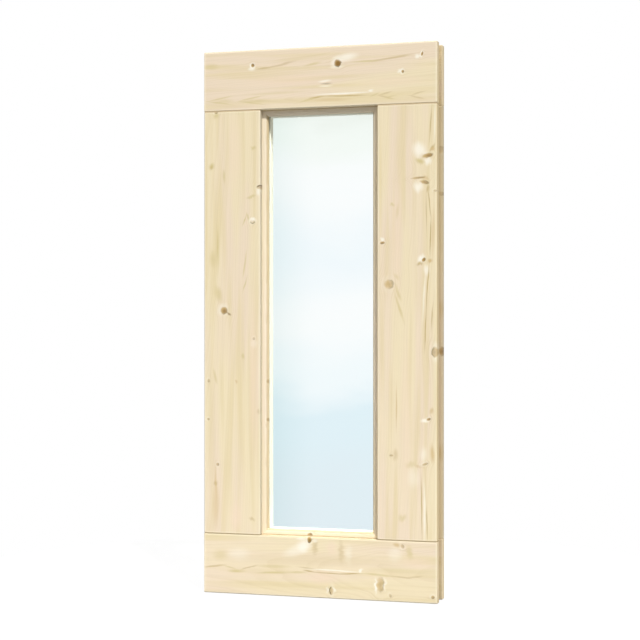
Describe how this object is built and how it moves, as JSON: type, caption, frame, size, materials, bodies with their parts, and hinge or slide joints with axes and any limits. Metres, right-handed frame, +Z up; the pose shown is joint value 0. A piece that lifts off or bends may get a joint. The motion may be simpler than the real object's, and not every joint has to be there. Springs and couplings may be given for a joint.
{
  "type": "fixed timber window for a log wall",
  "caption": "Tall fixed window of pale planed softwood: wide casing boards inside and out, a core frame with a groove all round for the wall, and one beaded pane.",
  "frame": {"origin": "on the underside of the core sill, the floor of the bottom groove, midway across the window and midway through its thickness", "axes": "+Z up, +Y through the window from the front into the building, +X to the right seen from the front"},
  "size_m": [0.48, 0.066, 1.09],
  "materials": {
    "front_casing": "bare planed spruce with small knots",
    "core_frame": "bare planed spruce",
    "rear_casing": "bare planed spruce with small knots",
    "bead": "bare moulded spruce",
    "glass": "clear float glass",
    "tape": "closed-cell foam tape, matt"
  },
  "bodies": {
    "root": {"front_top_rail": "front_casing", "front_bottom_rail": "front_casing", "front_left_stile": "front_casing", "front_right_stile": "front_casing", "core_left_jamb": "core_frame", "core_right_jamb": "core_frame", "core_head": "core_frame", "core_sill": "core_frame", "rear_top_rail": "rear_casing", "rear_bottom_rail": "rear_casing", "rear_left_stile": "rear_casing", "rear_right_stile": "rear_casing", "glass_pane": "glass", "bead_top": "bead", "bead_bottom": "bead", "bead_left": "bead", "bead_right": "bead", "outer_tape_top": "tape", "outer_tape_bottom": "tape", "outer_tape_left": "tape", "outer_tape_right": "tape", "inner_tape_top": "tape", "inner_tape_bottom": "tape", "inner_tape_left": "tape", "inner_tape_right": "tape"}
  },
  "joints": []
}
